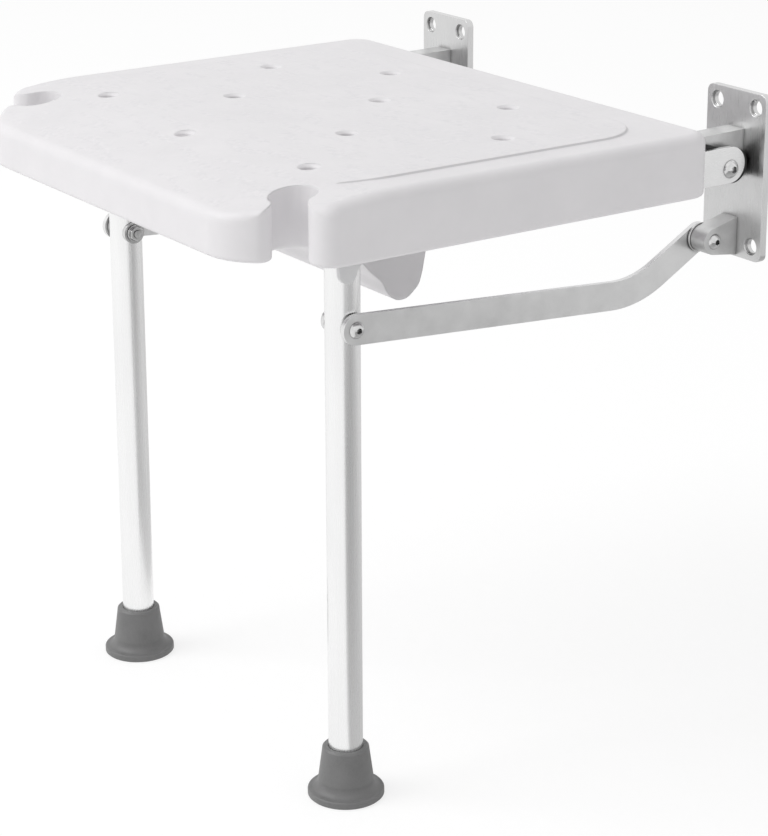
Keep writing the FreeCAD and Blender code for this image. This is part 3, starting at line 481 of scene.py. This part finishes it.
def dress_everything():
    fastener = polished_steel()
    cast = cast_steel()
    nylon = black_nylon()
    coated = coated_steel()
    plate = steel("brushed_plate_steel", 0.64, (1, 1, 40), 0.0006, 0.30, 0.04)
    link = steel("satin_link_steel", 0.78, (1, 30, 30), 0.0005, 0.36, 0.03)
    arm = steel("satin_arm_steel", 0.78, (1, 40, 1), 0.0006, 0.30, 0.03)
    finishes = {
        "wall_plate": plate,
        "hinge_bracket": cast,
        "bearing_pad": nylon,
        "link_lug": cast,
        "link_bar": link,
        "seat_arm": arm,
        "leg_hanger": coated,
        "leg_cap": nylon,
    }
    for side in SIDES:
        for name, radius in ROUNDING.items():
            rounded_piece(name + "_" + side, radius, finishes.get(name, fastener))
        dress("plate_screws_" + side, fastener)
        dress("arm_screws_" + side, fastener)
        dress("hanger_screws_" + side, fastener)
    aluminium = drawn_aluminium()
    rubber = foot_rubber()
    for side in SIDES:
        dress("leg_tube_" + side, aluminium)
        dress("foot_" + side, rubber)
    seat_piece(moulded_seat_plastic())


def seen_directly(tree):
    """1 for rays from the camera, a mirror or through glass, otherwise 0."""
    path = tree.nodes.new("ShaderNodeLightPath")
    either = tree.nodes.new("ShaderNodeMath")
    either.operation = "MAXIMUM"
    tree.links.new(path.outputs["Is Camera Ray"], either.inputs[0])
    tree.links.new(path.outputs["Is Glossy Ray"], either.inputs[1])
    third = tree.nodes.new("ShaderNodeMath")
    third.operation = "MAXIMUM"
    tree.links.new(either.outputs["Value"], third.inputs[0])
    tree.links.new(path.outputs["Is Transmission Ray"], third.inputs[1])
    return third.outputs["Value"]


def studio_world():
    world = bpy.data.worlds.new("studio")
    world.use_nodes = True
    tree = world.node_tree
    tree.nodes.clear()
    soft = tree.nodes.new("ShaderNodeBackground")
    soft.inputs["Color"].default_value = (1, 1, 1, 1)
    soft.inputs["Strength"].default_value = SOFT_LIGHT
    white = tree.nodes.new("ShaderNodeBackground")
    white.inputs["Color"].default_value = (1, 1, 1, 1)
    white.inputs["Strength"].default_value = 1.0
    mix = tree.nodes.new("ShaderNodeMixShader")
    output = tree.nodes.new("ShaderNodeOutputWorld")
    tree.links.new(seen_directly(tree), mix.inputs["Fac"])
    tree.links.new(soft.outputs["Background"], mix.inputs[1])
    tree.links.new(white.outputs["Background"], mix.inputs[2])
    tree.links.new(mix.outputs["Shader"], output.inputs["Surface"])
    bpy.context.scene.world = world


def floor_material():
    material = bpy.data.materials.new("pale_floor")
    material.use_nodes = True
    tree = material.node_tree
    tree.nodes.clear()
    matt = tree.nodes.new("ShaderNodeBsdfDiffuse")
    matt.inputs["Color"].default_value = (0.95, 0.95, 0.95, 1)
    shaded = tree.nodes.new("ShaderNodeBsdfDiffuse")
    shaded.inputs["Color"].default_value = (0.3, 0.3, 0.3, 1)
    glow = tree.nodes.new("ShaderNodeEmission")
    glow.inputs["Strength"].default_value = 0.73
    lit = tree.nodes.new("ShaderNodeAddShader")
    mix = tree.nodes.new("ShaderNodeMixShader")
    clear = tree.nodes.new("ShaderNodeBsdfTransparent")
    side = tree.nodes.new("ShaderNodeNewGeometry")
    open_below = tree.nodes.new("ShaderNodeMixShader")
    output = tree.nodes.new("ShaderNodeOutputMaterial")
    tree.links.new(shaded.outputs["BSDF"], lit.inputs[0])
    tree.links.new(glow.outputs["Emission"], lit.inputs[1])
    tree.links.new(seen_directly(tree), mix.inputs["Fac"])
    tree.links.new(matt.outputs["BSDF"], mix.inputs[1])
    tree.links.new(lit.outputs["Shader"], mix.inputs[2])
    tree.links.new(side.outputs["Backfacing"], open_below.inputs["Fac"])
    tree.links.new(mix.outputs["Shader"], open_below.inputs[1])
    tree.links.new(clear.outputs["BSDF"], open_below.inputs[2])
    tree.links.new(open_below.outputs["Shader"], output.inputs["Surface"])
    return material


def flat_sheet(name, size_x, size_y, place, material):
    """A flat sheet for the studio, placed by a matrix."""
    sheet = bmesh.new()
    bmesh.ops.create_grid(sheet, x_segments=1, y_segments=1, size=0.5)
    bmesh.ops.scale(sheet, vec=(size_x, size_y, 1), verts=sheet.verts)
    bmesh.ops.transform(sheet, matrix=place, verts=sheet.verts)
    mesh = bpy.data.meshes.new(name)
    sheet.to_mesh(mesh)
    sheet.free()
    mesh.materials.append(material)
    thing = bpy.data.objects.new(name, mesh)
    bpy.context.scene.collection.objects.link(thing)
    return thing


def facing(place, target):
    """Matrix that puts something at place and turns its -Z axis towards target."""
    turn = (target - place).to_track_quat("-Z", "Y").to_matrix().to_4x4()
    return Matrix.Translation(place) @ turn


def soft_light(name, place, target, size, watts):
    data = bpy.data.lights.new(name, "AREA")
    data.shape = "SQUARE"
    data.size = size
    data.energy = watts
    lamp = bpy.data.objects.new(name, data)
    lamp.matrix_world = facing(place, target)
    bpy.context.scene.collection.objects.link(lamp)


def grey_card_material():
    """Grey glow that grows lighter against the card's own X axis."""
    material = bpy.data.materials.new("grey_card")
    material.use_nodes = True
    tree = material.node_tree
    tree.nodes.clear()
    place = tree.nodes.new("ShaderNodeTexCoord")
    parts = tree.nodes.new("ShaderNodeSeparateXYZ")
    level = tree.nodes.new("ShaderNodeMapRange")
    level.inputs["From Min"].default_value = -0.4
    level.inputs["From Max"].default_value = 0.7
    level.inputs["To Min"].default_value = 0.68
    level.inputs["To Max"].default_value = 0.34
    glow = tree.nodes.new("ShaderNodeEmission")
    output = tree.nodes.new("ShaderNodeOutputMaterial")
    tree.links.new(place.outputs["Object"], parts.inputs["Vector"])
    tree.links.new(parts.outputs["X"], level.inputs["Value"])
    tree.links.new(level.outputs["Result"], glow.inputs["Strength"])
    tree.links.new(glow.outputs["Emission"], output.inputs["Surface"])
    return material


def grey_card():
    """Grey sheet on the floor beside the near leg that only shiny surfaces mirror."""
    tube_low, tube_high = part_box("leg_tube_right")
    leg = (tube_low + tube_high) / 2
    start = Vector((leg.x, leg.y, FLOOR_HEIGHT + 0.0005))
    turn = Matrix.Rotation(math.radians(CARD_AZIMUTH - 90), 4, "Z")
    offset = Matrix.Translation((0, CARD_OFFSET, 0))
    card = flat_sheet("grey_card", *CARD_SIZE, offset, grey_card_material())
    card.matrix_world = Matrix.Translation(start) @ turn
    card.visible_camera = False
    card.visible_diffuse = False
    card.visible_shadow = False


def studio():
    studio_world()
    ground = Matrix.Translation((0, 0, FLOOR_HEIGHT))
    flat_sheet("floor", FLOOR_SIZE, FLOOR_SIZE, ground, floor_material())
    soft_light("key", LAMP_PLACE, AIM, LAMP_SIZE, LAMP_WATTS)
    grey_card()


def camera():
    azimuth = math.radians(CAMERA_AZIMUTH)
    elevation = math.radians(CAMERA_ELEVATION)
    back = Vector((
        math.sin(azimuth) * math.cos(elevation),
        -math.cos(azimuth) * math.cos(elevation),
        math.sin(elevation),
    ))
    data = bpy.data.cameras.new("camera")
    data.lens = CAMERA_LENS
    data.sensor_width = 36
    data.shift_y = CAMERA_SHIFT
    data.clip_end = 100
    lens = bpy.data.objects.new("camera", data)
    roll = Matrix.Rotation(math.radians(CAMERA_ROLL), 4, "Z")
    lens.matrix_world = facing(CAMERA_PLACE, CAMERA_PLACE - back) @ roll
    bpy.context.scene.collection.objects.link(lens)
    bpy.context.scene.camera = lens


bpy.context.scene.view_settings.view_transform = "Standard"
dress_everything()
studio()
camera()
